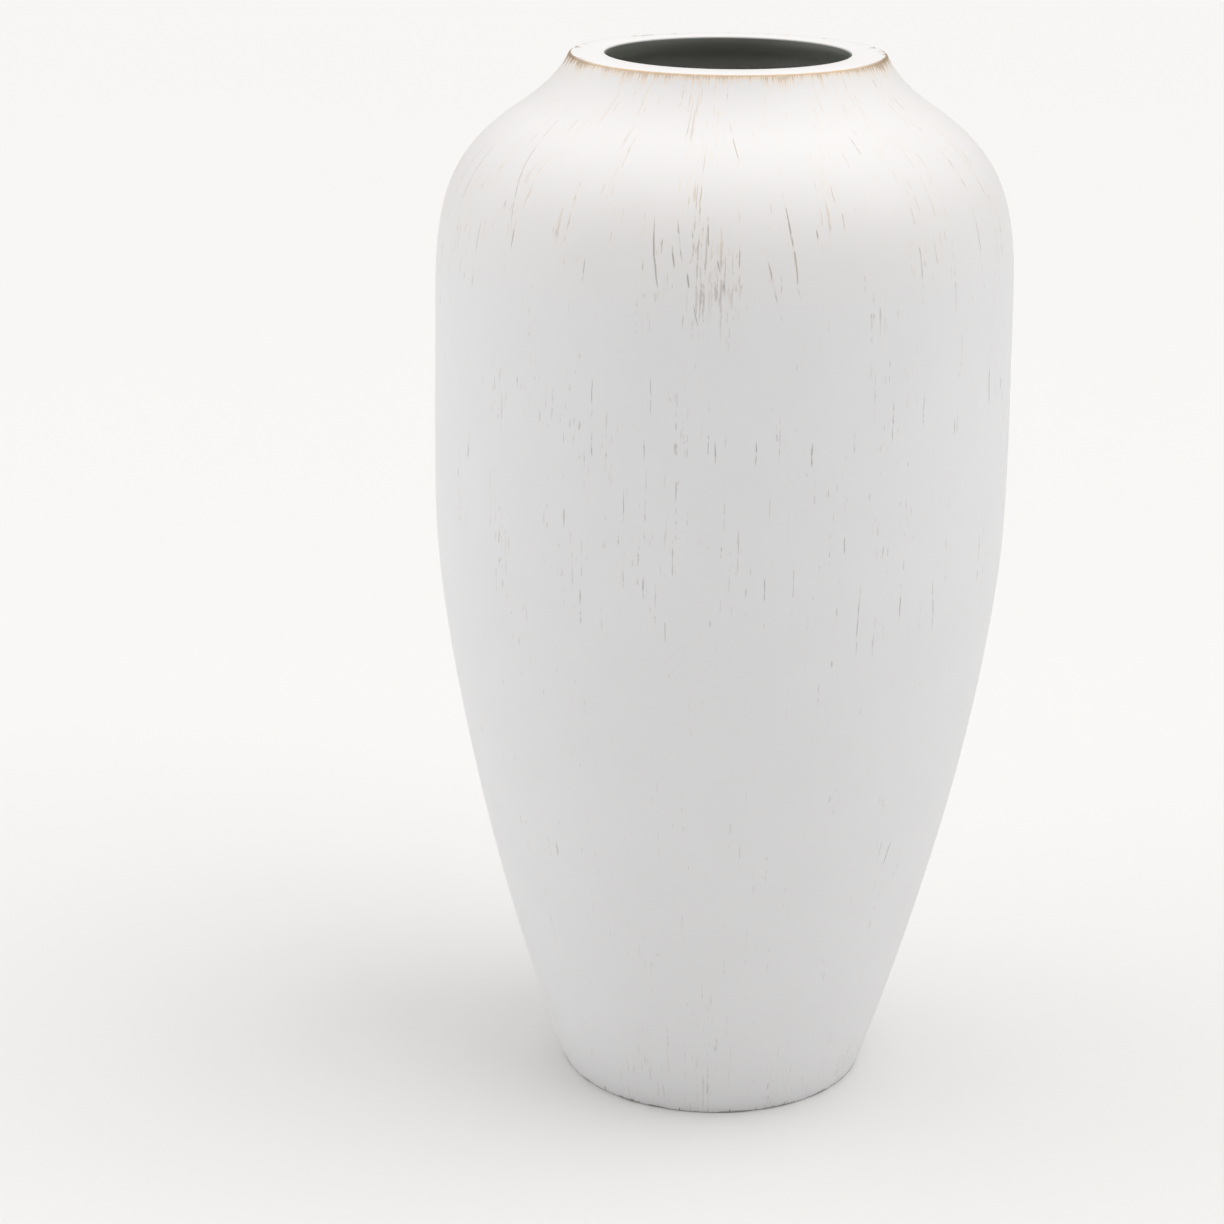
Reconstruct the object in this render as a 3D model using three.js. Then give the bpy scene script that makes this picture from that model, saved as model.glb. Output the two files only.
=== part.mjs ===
// A tall shouldered ceramic vase with a flat lip, in millimetres, +Z up.
// The vase stands on Z = 0 and its axis is the Z axis, with the origin under the centre of the foot.
//
// It is made the way a large pot is made: a lower and an upper section, joined by clay slip in a
// stepped joint at the widest part, lined with a dark glaze, and stood on four felt pads.
import * as THREE from 'three';

// ---- Driving dimensions -------------------------------------------------------------------------

// Whole vase
const HEIGHT = 310;
const FOOT_LIFT = 0.6; // how far the pads hold the foot off the table
const FOOT_RADIUS = 46;
const JOINT_HEIGHT = 170; // where the lower section ends
const JOINT_RADIUS = 83.6;
const BELLY_TOP_HEIGHT = 240; // where the near-upright belly turns into the shoulder
const BELLY_TOP_RADIUS = 83.5;
const NECK_HEIGHT = 294.7; // where the shoulder's curve turns into the neck's hollow one
const NECK_RADIUS = 59.5;
const NECK_SLOPE = THREE.MathUtils.degToRad(33.6);
const RIM_RADIUS = 45;
const RIM_CHAMFER = 0.8;
const BORE_RADIUS = 35;

// Walls
const WALL = 7;
const FLOOR_TOP = 10;
const FOOT_RECESS_RADIUS = 37;
const FOOT_RECESS_HEIGHT = 3;
const CORNER_HEIGHT = 24; // where the inside corner of the floor meets the wall
const CORNER_REACH = 12; // how far the corner's curve runs in over the floor
const CORNER_PULL = 4; // how far inside the wall its control point lies
const BORE_DEPTH = 3; // the straight part of the mouth
const THROAT_PULL = 7.5; // how far down the mouth the throat's control point lies

// Stepped joint between the two sections, with the slip that fills it
const TONGUE_HEIGHT = 4;
const TONGUE_INNER_RADIUS = 76.6;
const TONGUE_OUTER_RADIUS = 79.8;
const SLIP_THICKNESS = 0.8;

// Glaze lining and felt pads
const GLAZE_THICKNESS = 0.5;
const PAD_COUNT = 4;
const PAD_RADIUS = 8;
const PAD_CIRCLE_RADIUS = 26;

// Clearance left between pieces that touch on the finished pot
const GAP = 0.3;

// Facets
const TURN_SEGMENTS = 48;
const GLAZE_SEGMENTS = 24; // every other facet of the clay that backs it
const PAD_SEGMENTS = 24;

const JOINT_CLEARANCE = SLIP_THICKNESS + 2 * GAP;

// ---- Finishes -----------------------------------------------------------------------------------

const finishes = {
  whitewash: new THREE.MeshStandardMaterial({ color: '#e4e4e2', roughness: 0.62, metalness: 0 }),
  slip: new THREE.MeshStandardMaterial({ color: '#b79468', roughness: 0.85, metalness: 0 }),
  glaze: new THREE.MeshStandardMaterial({ color: '#474942', roughness: 0.3, metalness: 0 }),
  felt: new THREE.MeshStandardMaterial({ color: '#8d857a', roughness: 0.95, metalness: 0 }),
};

// ---- Outline of the vase, as radius and height --------------------------------------------------

const at = (radius, height) => new THREE.Vector2(radius, height);

const alongNeck = (distance) =>
  at(
    NECK_RADIUS + distance * Math.cos(NECK_SLOPE),
    NECK_HEIGHT - distance * Math.sin(NECK_SLOPE),
  );

// From the foot's edge up to the joint: flared at the foot, almost upright at the joint.
const taper = new THREE.CubicBezierCurve(
  at(FOOT_RADIUS, FOOT_LIFT),
  at(60.4, 39),
  at(80.9, 118.7),
  at(JOINT_RADIUS, JOINT_HEIGHT),
);

const belly = new THREE.CubicBezierCurve(
  at(JOINT_RADIUS, JOINT_HEIGHT + JOINT_CLEARANCE),
  at(84.4, 190),
  at(83.7, 222),
  at(BELLY_TOP_RADIUS, BELLY_TOP_HEIGHT),
);

const shoulder = new THREE.CubicBezierCurve(
  at(BELLY_TOP_RADIUS, BELLY_TOP_HEIGHT),
  at(83.2, 269.2),
  alongNeck(23.6),
  alongNeck(0),
);

const neck = new THREE.CubicBezierCurve(
  alongNeck(0),
  alongNeck(-6.4),
  at(47.4, 304.1),
  at(RIM_RADIUS, HEIGHT - RIM_CHAMFER),
);

// The point of an outline at t, moved square to it into the wall by depth.
function inside(outline, t, depth) {
  const point = outline.getPoint(t);
  const along = outline.getTangent(t);
  return at(point.x - along.y * depth, point.y + along.x * depth);
}

const insidePoints = (outline, from, to, count, depth) =>
  Array.from({ length: count }, (_, i) =>
    inside(outline, from + ((to - from) * i) / (count - 1), depth),
  );

// How far up the taper's curve its inner side reaches a height.
function taperAt(height) {
  let t = 0;
  while (inside(taper, t, WALL).y < height) t += 0.01;
  return t;
}

// The clay's inner surface, or one held off it by extra, from the floor's middle up to the joint.
function lowerCavity(extra) {
  const floor = FLOOR_TOP + extra;
  const cornerAt = taperAt(CORNER_HEIGHT);
  const wallPoints = insidePoints(taper, cornerAt, 1, 7, WALL + extra);
  const corner = new THREE.QuadraticBezierCurve(
    at(wallPoints[0].x - CORNER_REACH, floor),
    at(wallPoints[0].x - CORNER_PULL, floor),
    wallPoints[0],
  );
  return [at(0, floor), ...corner.getPoints(4), ...wallPoints.slice(1)];
}

// The same surface from the joint up to the mouth's edge.
function upperCavity(extra) {
  const depth = WALL + extra;
  const bore = BORE_RADIUS - extra;
  const throat = new THREE.QuadraticBezierCurve(
    inside(neck, 0, depth),
    at(bore, HEIGHT - THROAT_PULL),
    at(bore, HEIGHT - BORE_DEPTH),
  );
  return [
    ...insidePoints(belly, 0.1, 1, 4, depth),
    ...insidePoints(shoulder, 0.2, 0.85, 6, depth),
    ...throat.getPoints(5),
  ];
}

// ---- Pieces -------------------------------------------------------------------------------------

// A solid turned about Z from a profile that runs up its outer side and down its inner one.
function turned(name, finish, profile, segments = TURN_SEGMENTS) {
  const geometry = new THREE.LatheGeometry(profile, segments);
  geometry.rotateX(Math.PI / 2);
  const mesh = new THREE.Mesh(geometry, finish);
  mesh.name = name;
  return mesh;
}

const closed = (profile) => [...profile, profile[0]];

function lowerBody() {
  return turned('lower_body', finishes.whitewash, [
    at(0, FOOT_RECESS_HEIGHT),
    at(FOOT_RECESS_RADIUS, FOOT_RECESS_HEIGHT),
    at(FOOT_RECESS_RADIUS, FOOT_LIFT),
    ...taper.getPoints(10),
    at(TONGUE_OUTER_RADIUS, JOINT_HEIGHT),
    at(TONGUE_OUTER_RADIUS, JOINT_HEIGHT + TONGUE_HEIGHT),
    at(TONGUE_INNER_RADIUS, JOINT_HEIGHT + TONGUE_HEIGHT),
    ...lowerCavity(0).reverse(),
  ]);
}

function upperBody() {
  const rebateRadius = TONGUE_OUTER_RADIUS + JOINT_CLEARANCE;
  const rebateTop = JOINT_HEIGHT + TONGUE_HEIGHT + JOINT_CLEARANCE;
  return turned(
    'upper_body',
    finishes.whitewash,
    closed([
      ...belly.getPoints(4),
      ...shoulder.getPoints(9).slice(1),
      ...neck.getPoints(5).slice(1),
      at(RIM_RADIUS - RIM_CHAMFER, HEIGHT),
      at(BORE_RADIUS, HEIGHT),
      ...upperCavity(0).reverse(),
      at(TONGUE_INNER_RADIUS, rebateTop),
      at(rebateRadius, rebateTop),
      at(rebateRadius, JOINT_HEIGHT + JOINT_CLEARANCE),
    ]),
  );
}

// The slip follows the step: a flat outer leg, a collar round the tongue and a flat leg over it.
function jointSlip() {
  const underside = JOINT_HEIGHT + GAP;
  const overTongue = underside + TONGUE_HEIGHT;
  const collarInner = TONGUE_OUTER_RADIUS + GAP;
  const collarOuter = collarInner + SLIP_THICKNESS;
  return turned(
    'joint_slip',
    finishes.slip,
    closed([
      at(collarInner, underside),
      at(JOINT_RADIUS - GAP, underside),
      at(JOINT_RADIUS - GAP, underside + SLIP_THICKNESS),
      at(collarOuter, underside + SLIP_THICKNESS),
      at(collarOuter, overTongue + SLIP_THICKNESS),
      at(TONGUE_INNER_RADIUS + GAP, overTongue + SLIP_THICKNESS),
      at(TONGUE_INNER_RADIUS + GAP, overTongue),
      at(collarInner, overTongue),
    ]),
  );
}

function glazeLining() {
  const back = GAP;
  const face = GAP + GLAZE_THICKNESS;
  const top = HEIGHT - GAP;
  const profile = [
    ...lowerCavity(back),
    ...upperCavity(back),
    at(BORE_RADIUS - back, top),
    at(BORE_RADIUS - face, top),
    ...upperCavity(face).reverse(),
    ...lowerCavity(face).reverse(),
  ];
  return turned('glaze_lining', finishes.glaze, profile, GLAZE_SEGMENTS);
}

function footPads() {
  const thickness = FOOT_RECESS_HEIGHT - GAP;
  return Array.from({ length: PAD_COUNT }, (_, i) => {
    const angle = ((i + 0.5) * 2 * Math.PI) / PAD_COUNT;
    const disc = new THREE.CylinderGeometry(PAD_RADIUS, PAD_RADIUS, thickness, PAD_SEGMENTS);
    disc.rotateX(Math.PI / 2);
    const pad = new THREE.Mesh(disc, finishes.felt);
    pad.name = `foot_pad_${i + 1}`;
    pad.position.set(
      PAD_CIRCLE_RADIUS * Math.cos(angle),
      PAD_CIRCLE_RADIUS * Math.sin(angle),
      thickness / 2,
    );
    return pad;
  });
}

// ---- Assembly -----------------------------------------------------------------------------------

const vase = new THREE.Group();
vase.add(lowerBody(), upperBody(), jointSlip(), glazeLining(), ...footPads());

export default vase;
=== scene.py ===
"""A tall shouldered ceramic vase: brushed white outside, dark glaze inside, on felt pads.

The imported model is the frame. It says where the two clay sections, the slip in their joint, the
glaze lining and the pads lie, and this file makes the finished surfaces around it, in metres.
"""

import math
from types import SimpleNamespace

import bmesh
import bpy
from bpy.props import FloatProperty, FloatVectorProperty, IntProperty, PointerProperty
from mathutils import Matrix, Vector, geometry, noise


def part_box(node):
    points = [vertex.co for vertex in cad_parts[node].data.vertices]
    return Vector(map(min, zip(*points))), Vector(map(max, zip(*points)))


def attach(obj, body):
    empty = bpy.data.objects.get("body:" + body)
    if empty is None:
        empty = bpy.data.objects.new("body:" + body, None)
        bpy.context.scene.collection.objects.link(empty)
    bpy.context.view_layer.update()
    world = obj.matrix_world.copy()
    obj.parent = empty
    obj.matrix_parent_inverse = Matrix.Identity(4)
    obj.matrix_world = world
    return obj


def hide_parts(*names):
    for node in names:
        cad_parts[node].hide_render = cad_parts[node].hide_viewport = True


bl_info = {
    "name": "Shouldered Vase",
    "version": (1, 0, 0),
    "blender": (4, 5, 0),
    "location": "View3D > Sidebar > Vase",
    "description": "Builds a brushed white ceramic vase around its packed frame",
    "category": "Add Mesh",
}

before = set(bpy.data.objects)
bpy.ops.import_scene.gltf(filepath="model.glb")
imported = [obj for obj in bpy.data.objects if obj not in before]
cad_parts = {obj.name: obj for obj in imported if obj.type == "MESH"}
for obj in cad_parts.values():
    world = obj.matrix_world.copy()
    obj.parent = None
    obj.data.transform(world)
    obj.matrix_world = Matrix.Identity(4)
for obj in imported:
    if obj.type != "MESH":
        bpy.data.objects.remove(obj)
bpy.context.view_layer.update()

MM = 0.001
BODY = "root"
PAD_NODES = sorted(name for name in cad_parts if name.startswith("foot_pad"))

# ---- Places taken from the frame ----------------------------------------------------------------

LOWER_LOW, LOWER_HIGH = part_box("lower_body")
UPPER_LOW, UPPER_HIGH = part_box("upper_body")
HEIGHT = UPPER_HIGH.z
PAINT_BEAD = 0.45 * MM  # paint gathered under the foot's edge, close to the table
FOOT_Z = LOWER_LOW.z - PAINT_BEAD
JOINT_RADIUS = LOWER_HIGH.x
TONGUE_TOP = LOWER_HIGH.z
REBATE_BASE = UPPER_LOW.z

# ---- Fixed details of the pot, as in the frame's own design -------------------------------------

FOOT_RADIUS = 46 * MM
BELLY_TOP = Vector((83.5 * MM, 0, 240 * MM))
NECK = Vector((59.5 * MM, 0, 294.7 * MM))
NECK_SLOPE = math.radians(33.6)
RIM_RADIUS = 45 * MM
BORE_RADIUS = 35 * MM
RECESS_RADIUS = 37 * MM
RECESS_TOP = 3 * MM
FLOOR_TOP = 10 * MM
FLOOR_CORNER = 12 * MM  # how far in from the wall the floor starts to rise
BORE_DEPTH = 3 * MM  # the straight part of the mouth
TONGUE_HEIGHT = 4 * MM
TONGUE_INNER = 76.6 * MM
TONGUE_OUTER = 79.8 * MM
JOINT_Z = TONGUE_TOP - TONGUE_HEIGHT
SLIP_GAP = 0.3 * MM
SLIP_THICKNESS = REBATE_BASE - JOINT_Z - 2 * SLIP_GAP
SKIN_GAP = 0.05 * MM  # between two surfaces that lie against each other
CLOSING_LIP = 0.25 * MM  # the skin of clay smoothed down over the slip at the joint

# ---- Wear and texture ---------------------------------------------------------------------------

SWAY_SCALE = 14
CHIP_GRAIN = 1100
BITE_SCALE = 330
BITE_LEVEL = 0.12  # only the highest parts of the noise bite into an arris
LIP_CHIP_REACH = 1.9 * MM
FOOT_CHIP_REACH = 1.2 * MM
FOOT_CHIP_SHARE = 0.7
REFERENCE_RADIUS = JOINT_RADIUS  # brush marks are drawn on a cylinder of this radius
LEAST_RADIUS = 0.1 * MM  # nearer the axis than this, brush marks aren't spread any wider
THROWING_PITCH = 7 * MM
THROWING_WANDER = 5 * MM
GLAZE_PAINTED_LIGHT_HEIGHTS = (HEIGHT - 12 * MM, HEIGHT - 2 * MM)  # painted light: the glaze is painted paler below these heights, darker above

# ---- Fineness of the meshes ---------------------------------------------------------------------

TURN_STEPS = 512
GLAZE_STEPS = 256
PAD_STEPS = 48
LINE_STEPS = 16  # points of a curve inside the pot
SHARP_ANGLE = math.radians(50)
PLACE_TOLERANCE = 0.01 * MM
MERGE_DISTANCE = 0.001 * MM

# ---- Studio -------------------------------------------------------------------------------------

FLOOR_TINT = (1.0, 0.991, 0.973)
OVERHEAD_RISE = (0.2, 0.9)
FRONT_FADE = (0.0, -0.8)
LEFT_EDGE = (-0.45, -1.0)
RIGHT_EDGE = (0.45, 1.0)
KEY_FROM = Vector((0.75, -0.15, 1.0))
KEY_SPREAD = math.radians(60)


# ---- Settings -----------------------------------------------------------------------------------


def length(name, description, default):
    return FloatProperty(
        name=name, description=description, default=default, unit="LENGTH", precision=5
    )


def colour(name, description, default):
    return FloatVectorProperty(
        name=name, description=description, default=default, subtype="COLOR", size=3, min=0, max=1
    )


def share(name, description, default, top=1.0):
    return FloatProperty(
        name=name, description=description, default=default, min=0, max=top, subtype="FACTOR"
    )


def angle(name, description, degrees):
    return FloatProperty(
        name=name, description=description, default=math.radians(degrees), subtype="ANGLE"
    )


class VaseShape(bpy.types.PropertyGroup):
    """Sizes that finish the pot."""

    wall: length("Wall", "Thickness of the clay", 7 * MM)
    arris: length("Lip arris", "Width of the lip's rubbed outer edge", 0.8 * MM)
    foot_edge: length("Foot edge", "Width of the foot's rounded outer edge", 0.15 * MM)
    soft_edge: length("Soft edge", "Width of the other rounded edges", 0.4 * MM)
    chip_depth: length("Chip depth", "How deep the lip and the foot are chipped", 0.3 * MM)
    sway: length("Sway", "How far the thrown wall strays from a true circle", 0.25 * MM)
    glaze: length("Glaze", "Thickness of the glaze inside", 0.5 * MM)
    pad_edge: length("Pad edge", "Roundness of the felt pads' edges", 0.5 * MM)


class VaseFinish(bpy.types.PropertyGroup):
    """Colours and wear."""

    paint: colour("Paint", "White paint brushed over the pot", (0.86, 0.858, 0.866))
    ground: colour("Ground", "Brown ground under the paint", (0.150, 0.137, 0.122))
    gold: colour("Gold", "Golden wash where the paint is thin", (0.90, 0.62, 0.34))
    rust: colour("Rust", "Rubbed brown on the lip's arris", (0.45, 0.32, 0.20))
    clay: colour("Clay", "Bare clay under the foot", (0.50, 0.36, 0.24))
    glaze: colour("Glaze", "Dark glaze inside", (0.115, 0.119, 0.101))
    # Painted light: a much paler glaze colour for deep inside the pot, painted in to lift the shade
    # there.
    deep_glaze_painted_light: colour("Thin glaze", "The glaze deeper down, where it is thin", (0.82, 0.82, 0.79))
    felt: colour("Felt", "Felt of the pads", (0.27, 0.24, 0.20))
    wear: share("Wear", "How much of the paint is brushed through", 0.5)
    arris_wear: length("Arris wear", "Width of the bare band under the lip's edge", 1.0 * MM)
    foot_wear: length("Foot wear", "Width of the worn band at the foot", 0.28 * MM)


class VaseStudio(bpy.types.PropertyGroup):
    """Floor, light and camera."""

    floor_tone: share("Floor tone", "Lightness of the pale floor", 0.785)
    backdrop: share("Backdrop", "Lightness behind the floor", 0.92, 2.0)
    overhead: share("Overhead", "Light from above", 1.38, 4.0)
    front_share: share("Front share", "How much of the overhead light is left in front", 0.70)
    left_window: share("Left window", "Light from the left", 0.98, 4.0)
    right_window: share("Right window", "Light from the right", 0.16, 4.0)
    key_energy: FloatProperty(
        name="Key", description="Strength of the soft key light", default=0.96, min=0
    )
    lens: FloatProperty(
        name="Lens",
        description="Focal length",
        default=88.3,
        unit="CAMERA",
        subtype="DISTANCE_CAMERA",
    )
    distance: length("Distance", "From the pot's axis to the camera, level", 0.8573)
    camera_height: length("Camera height", "Above the table", 0.4228)
    pitch: angle("Pitch", "How far the camera looks down", 18.08)
    yaw: angle("Yaw", "How far the camera turns left", 2.12)
    roll: angle("Roll", "How far the camera leans", 0.386)
    floor_radius: length("Floor radius", "How far the floor reaches from the pot", 9.0)
    floor_sides: IntProperty(name="Floor sides", description="Sides of the floor", default=96)


# ---- Outline of the pot, as points of radius (X) and height (Z) ---------------------------------


def at(radius, height):
    """A point of the outline."""
    return Vector((radius, 0, height))


def along_neck(distance):
    """The point at a distance down the shoulder from where the shoulder meets the neck."""
    return NECK + distance * at(math.cos(NECK_SLOPE), -math.sin(NECK_SLOPE))


def taper_line(count):
    """From the foot up to the joint."""
    return geometry.interpolate_bezier(
        at(FOOT_RADIUS, FOOT_Z),
        at(60.4 * MM, 39 * MM),
        at(80.9 * MM, 118.7 * MM),
        at(JOINT_RADIUS, JOINT_Z),
        count,
    )


def belly_line(count):
    """From the joint up, past the widest part."""
    return geometry.interpolate_bezier(
        at(JOINT_RADIUS, JOINT_Z),
        at(84.4 * MM, 190 * MM),
        at(83.7 * MM, 222 * MM),
        BELLY_TOP,
        count,
    )


def shoulder_line(count):
    """From the belly in to the foot of the neck."""
    return geometry.interpolate_bezier(
        BELLY_TOP,
        at(83.2 * MM, 269.2 * MM),
        along_neck(23.6 * MM),
        along_neck(0),
        count,
    )


def neck_line(count):
    """From the foot of the neck up to the lip's edge."""
    return geometry.interpolate_bezier(
        along_neck(0),
        along_neck(-6.4 * MM),
        at(47.4 * MM, 304.1 * MM),
        at(RIM_RADIUS, HEIGHT),
        count,
    )


def inset(line, depth):
    """The same line moved square to itself into the wall, for a line that runs up the outside."""
    moved = []
    for i, point in enumerate(line):
        along = (line[min(i + 1, len(line) - 1)] - line[max(i - 1, 0)]).normalized()
        moved.append(point + depth * at(-along.z, along.x))
    return moved


def lower_cavity(depth, floor):
    """The inside from the floor's middle up to the joint, at a depth in from the outside."""
    wall = inset(taper_line(LINE_STEPS), depth)[3:]
    corner = geometry.interpolate_bezier(
        at(wall[0].x - FLOOR_CORNER, floor),
        at(wall[0].x - 7 * MM, floor),
        wall[0] + at(-1.5 * MM, -6 * MM),
        wall[0],
        8,
    )
    return [at(0, floor), *corner, *wall[1:]]


def upper_cavity(depth, bore):
    """The inside from the joint up to the bottom of the mouth's straight bore."""
    shoulder = inset(shoulder_line(LINE_STEPS), depth)
    throat = geometry.interpolate_bezier(
        shoulder[-1],
        shoulder[-1] + at(-13 * MM, 8.6 * MM),
        at(bore, HEIGHT - 7 * MM),
        at(bore, HEIGHT - BORE_DEPTH),
        12,
    )
    return [*inset(belly_line(8), depth), *shoulder[1:-1], *throat]


# ---- Mesh work ----------------------------------------------------------------------------------


def turn(profile, steps, closed):
    """Spins a profile round the Z axis into a closed mesh with its faces outwards.

    One quarter is spun and three copies of it are turned into place, which is quicker than a full
    spin of so many steps.
    """
    bm = bmesh.new()
    ring = [bm.verts.new(point) for point in profile]
    pairs = list(zip(ring, ring[1:]))
    if closed:
        pairs.append((ring[-1], ring[0]))
    edges = [bm.edges.new(pair) for pair in pairs]
    bmesh.ops.spin(
        bm,
        geom=ring + edges,
        cent=(0, 0, 0),
        axis=(0, 0, 1),
        angle=math.pi / 2,
        steps=steps // 4,
        use_merge=False,
    )
    quarter = bm.verts[:] + bm.edges[:] + bm.faces[:]
    for turns in (1, 2, 3):
        copied = bmesh.ops.duplicate(bm, geom=quarter)["geom"]
        bmesh.ops.rotate(
            bm,
            verts=[part for part in copied if isinstance(part, bmesh.types.BMVert)],
            cent=(0, 0, 0),
            matrix=Matrix.Rotation(turns * math.pi / 2, 3, "Z"),
        )
    bmesh.ops.remove_doubles(bm, verts=bm.verts, dist=MERGE_DISTANCE)
    bmesh.ops.recalc_face_normals(bm, faces=bm.faces)
    return bm


def lies_on(vert, ring):
    """Whether a vertex is on the circle that a point of the outline sweeps."""
    off_radius = abs(vert.co.xy.length - ring.x)
    off_height = abs(vert.co.z - ring.z)
    return off_radius < PLACE_TOLERANCE and off_height < PLACE_TOLERANCE


def soften(bm, width, segments, rings):
    """Rounds the ring-shaped edges that the given points of the outline sweep."""
    edges = [
        edge
        for edge in bm.edges
        if any(all(lies_on(vert, ring) for vert in edge.verts) for ring in rings)
    ]
    bmesh.ops.bevel(
        bm,
        geom=edges,
        offset=width,
        segments=segments,
        profile=0.5,
        affect="EDGES",
        material=-1,
        clamp_overlap=True,
    )


def sway(bm, amount):
    """Moves the wall in and out by a little, the same on every piece, as on a pot thrown by hand."""
    for vert in bm.verts:
        level = vert.co.xy
        if level.length > 0:
            push = amount * noise.noise(vert.co * SWAY_SCALE)
            vert.co.xy += level.normalized() * push


def chip(bm, edge, inwards, reach, depth):
    """Wears an arris unevenly: vertices within reach of it move in towards the clay."""
    inwards = inwards.normalized()
    elsewhere = Vector((7, 3, edge.z))  # bites and grain come from different places in the noise
    for vert in bm.verts:
        level = vert.co.xy
        away = (at(level.length, vert.co.z) - edge).length
        if away >= reach:
            continue
        place = Vector((*level.normalized(), 0)) * edge.x
        rough = 0.5 + 0.5 * noise.noise(place * CHIP_GRAIN)
        bites = max(0.0, noise.noise(place * BITE_SCALE + elsewhere) - BITE_LEVEL)
        cut = depth * (1 - away / reach) * (0.45 * rough + 2.2 * bites)
        vert.co += cut * (level.normalized() * inwards.x).to_3d()
        vert.co.z += cut * inwards.z


def finish_piece(bm, name, material, slot, *nodes):
    """Makes the mesh an object that rides on the pot and stands for its frame nodes."""
    mesh = bpy.data.meshes.new(name)
    for face in bm.faces:
        face.smooth = True
    bm.to_mesh(mesh)
    bm.free()
    mesh.set_sharp_from_angle(angle=SHARP_ANGLE)
    piece = bpy.data.objects.new(name, mesh)
    bpy.context.scene.collection.objects.link(piece)
    mesh.materials.append(material)
    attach(piece, BODY)
    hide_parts(*nodes)
    return piece


# ---- Shader nodes -------------------------------------------------------------------------------

VECTOR = "NodeSocketVector"
FLOAT = "NodeSocketFloat"

# Brush marks: how fine they are, and how many times longer they run than they are wide.
HAIRS = (1900, 50)
DASHES = (1000, 4)
CLUMPS = (80, 2.5)
DEPTHS = (260, 6)
BREAKS = (700, 3)
TEETH = (1100, 20)
SWELLS = (90, 20)
RIDGES = (480, 30)
DRAGS = (120, 9)

MOST_NOISE = (0.3, 0.7)  # most values of a noise lie between these


def label(name):
    """A socket's label from a plain name, such as Middle arc from middle_arc."""
    return name.replace("_", " ").capitalize()


class Graph:
    """Adds nodes to a tree. An input is given as a value or as another node's output."""

    def __init__(self, tree):
        self.tree = tree

    def node(self, kind, inputs=None, **settings):
        made = self.tree.nodes.new(kind)
        for name, value in settings.items():
            setattr(made, name, value)
        for name, value in (inputs or {}).items():
            if isinstance(value, bpy.types.NodeSocket):
                self.tree.links.new(value, made.inputs[name])
            else:
                made.inputs[name].default_value = value
        return made

    def math(self, operation, *values, clamp=False):
        inputs = dict(enumerate(values))
        return self.node("ShaderNodeMath", inputs, operation=operation, use_clamp=clamp).outputs[0]

    def times(self, result, *others):
        for other in others:
            result = self.math("MULTIPLY", result, other)
        return result

    def times_plus(self, value, factor, added):
        return self.math("MULTIPLY_ADD", value, factor, added)

    def minus(self, value, taken):
        return self.math("SUBTRACT", value, taken)

    def largest(self, result, *others):
        for other in others:
            result = self.math("MAXIMUM", result, other)
        return result

    def noise(self, vector, scale, detail=2.0, roughness=0.5, **others):
        inputs = {"Vector": vector, "Scale": scale, "Detail": detail, "Roughness": roughness}
        return self.node("ShaderNodeTexNoise", {**inputs, **others}).outputs[0]

    def brushed(self, vector, marks, detail=2.0, roughness=0.5):
        """Noise drawn out along the pot into the given brush marks."""
        fineness, stretch = marks
        inputs = {0: vector, 1: (1, 1, 1 / stretch)}
        drawn = self.node("ShaderNodeVectorMath", inputs, operation="MULTIPLY").outputs[0]
        return self.noise(drawn, fineness, detail, roughness)

    def step(self, value, low, high, to_low=0.0, to_high=1.0):
        """A smooth step as value goes from low to high."""
        inputs = {0: value, 1: low, 2: high, 3: to_low, 4: to_high}
        return self.node("ShaderNodeMapRange", inputs, interpolation_type="SMOOTHSTEP").outputs[0]

    def mix(self, factor, first, second):
        inputs = {0: factor, 6: first, 7: second}
        return self.node("ShaderNodeMix", inputs, data_type="RGBA").outputs[2]

    def group(self, tree, **inputs):
        named = {label(name): value for name, value in inputs.items()}
        return self.node("ShaderNodeGroup", named, node_tree=tree).outputs


def new_group(name, inputs, outputs):
    """A shader group with named sockets: its tree, graph, input sockets and output node."""
    tree = bpy.data.node_groups.new(name, "ShaderNodeTree")
    for socket_label, kind, default in inputs:
        socket = tree.interface.new_socket(socket_label, in_out="INPUT", socket_type=kind)
        if default is not None:
            socket.default_value = default
    for socket_label, kind in outputs:
        tree.interface.new_socket(socket_label, in_out="OUTPUT", socket_type=kind)
    graph = Graph(tree)
    return tree, graph, graph.node("NodeGroupInput").outputs, graph.node("NodeGroupOutput")


def join(graph, node, **values):
    for name, value in values.items():
        graph.tree.links.new(value, node.inputs[label(name)])


def once(make):
    """Keeps what a function made the first time, so that materials share one group."""
    kept = {}

    def get():
        if make.__name__ not in kept:
            kept[make.__name__] = make()
        return kept[make.__name__]

    return get


@once
def turned_place():
    """Where a point lies on the pot: round it on a plain cylinder, its azimuth, height and radius."""
    tree, graph, given, out = new_group(
        "Turned Place",
        [("Position", VECTOR, None)],
        [("Around", VECTOR), ("Azimuth", FLOAT), ("Height", FLOAT), ("Radius", FLOAT)],
    )
    x, y, z = graph.node("ShaderNodeSeparateXYZ", {0: given[0]}).outputs
    radius = graph.math("SQRT", graph.times_plus(x, x, graph.times(y, y)))
    spread = graph.math("DIVIDE", REFERENCE_RADIUS, graph.largest(radius, LEAST_RADIUS))
    flat = {0: graph.times(x, spread), 1: graph.times(y, spread), 2: z}
    around = graph.node("ShaderNodeCombineXYZ", flat).outputs[0]
    azimuth = graph.math("ARCTAN2", x, graph.times(y, -1.0))
    join(graph, out, around=around, azimuth=azimuth, height=z, radius=radius)
    return tree


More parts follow.
